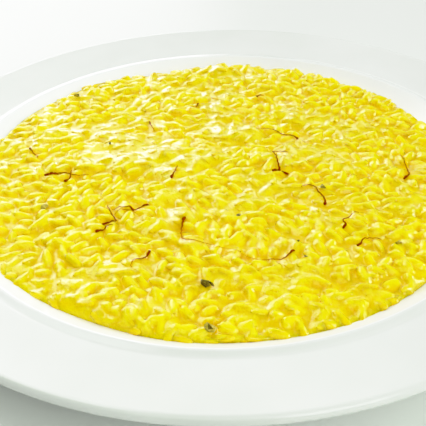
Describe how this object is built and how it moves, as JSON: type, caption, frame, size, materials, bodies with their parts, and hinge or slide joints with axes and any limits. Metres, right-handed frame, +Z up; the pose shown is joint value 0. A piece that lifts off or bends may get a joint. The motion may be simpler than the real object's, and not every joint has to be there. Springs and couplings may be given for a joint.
{
  "type": "plate of saffron risotto",
  "caption": "Round wide-rimmed white porcelain plate, its shallow well filled nearly to the lip with bumpy yellow saffron risotto.",
  "frame": {"origin": "on the table under the middle of the plate's foot ring", "axes": "+Z up, the plate's turning axis; -Y towards the diner; +X to the diner's right"},
  "size_m": [0.3, 0.3, 0.0247],
  "materials": {
    "porcelain": "gloss",
    "risotto": "gloss"
  },
  "bodies": {
    "root": {"plate": "porcelain", "risotto": "risotto"}
  },
  "joints": []
}
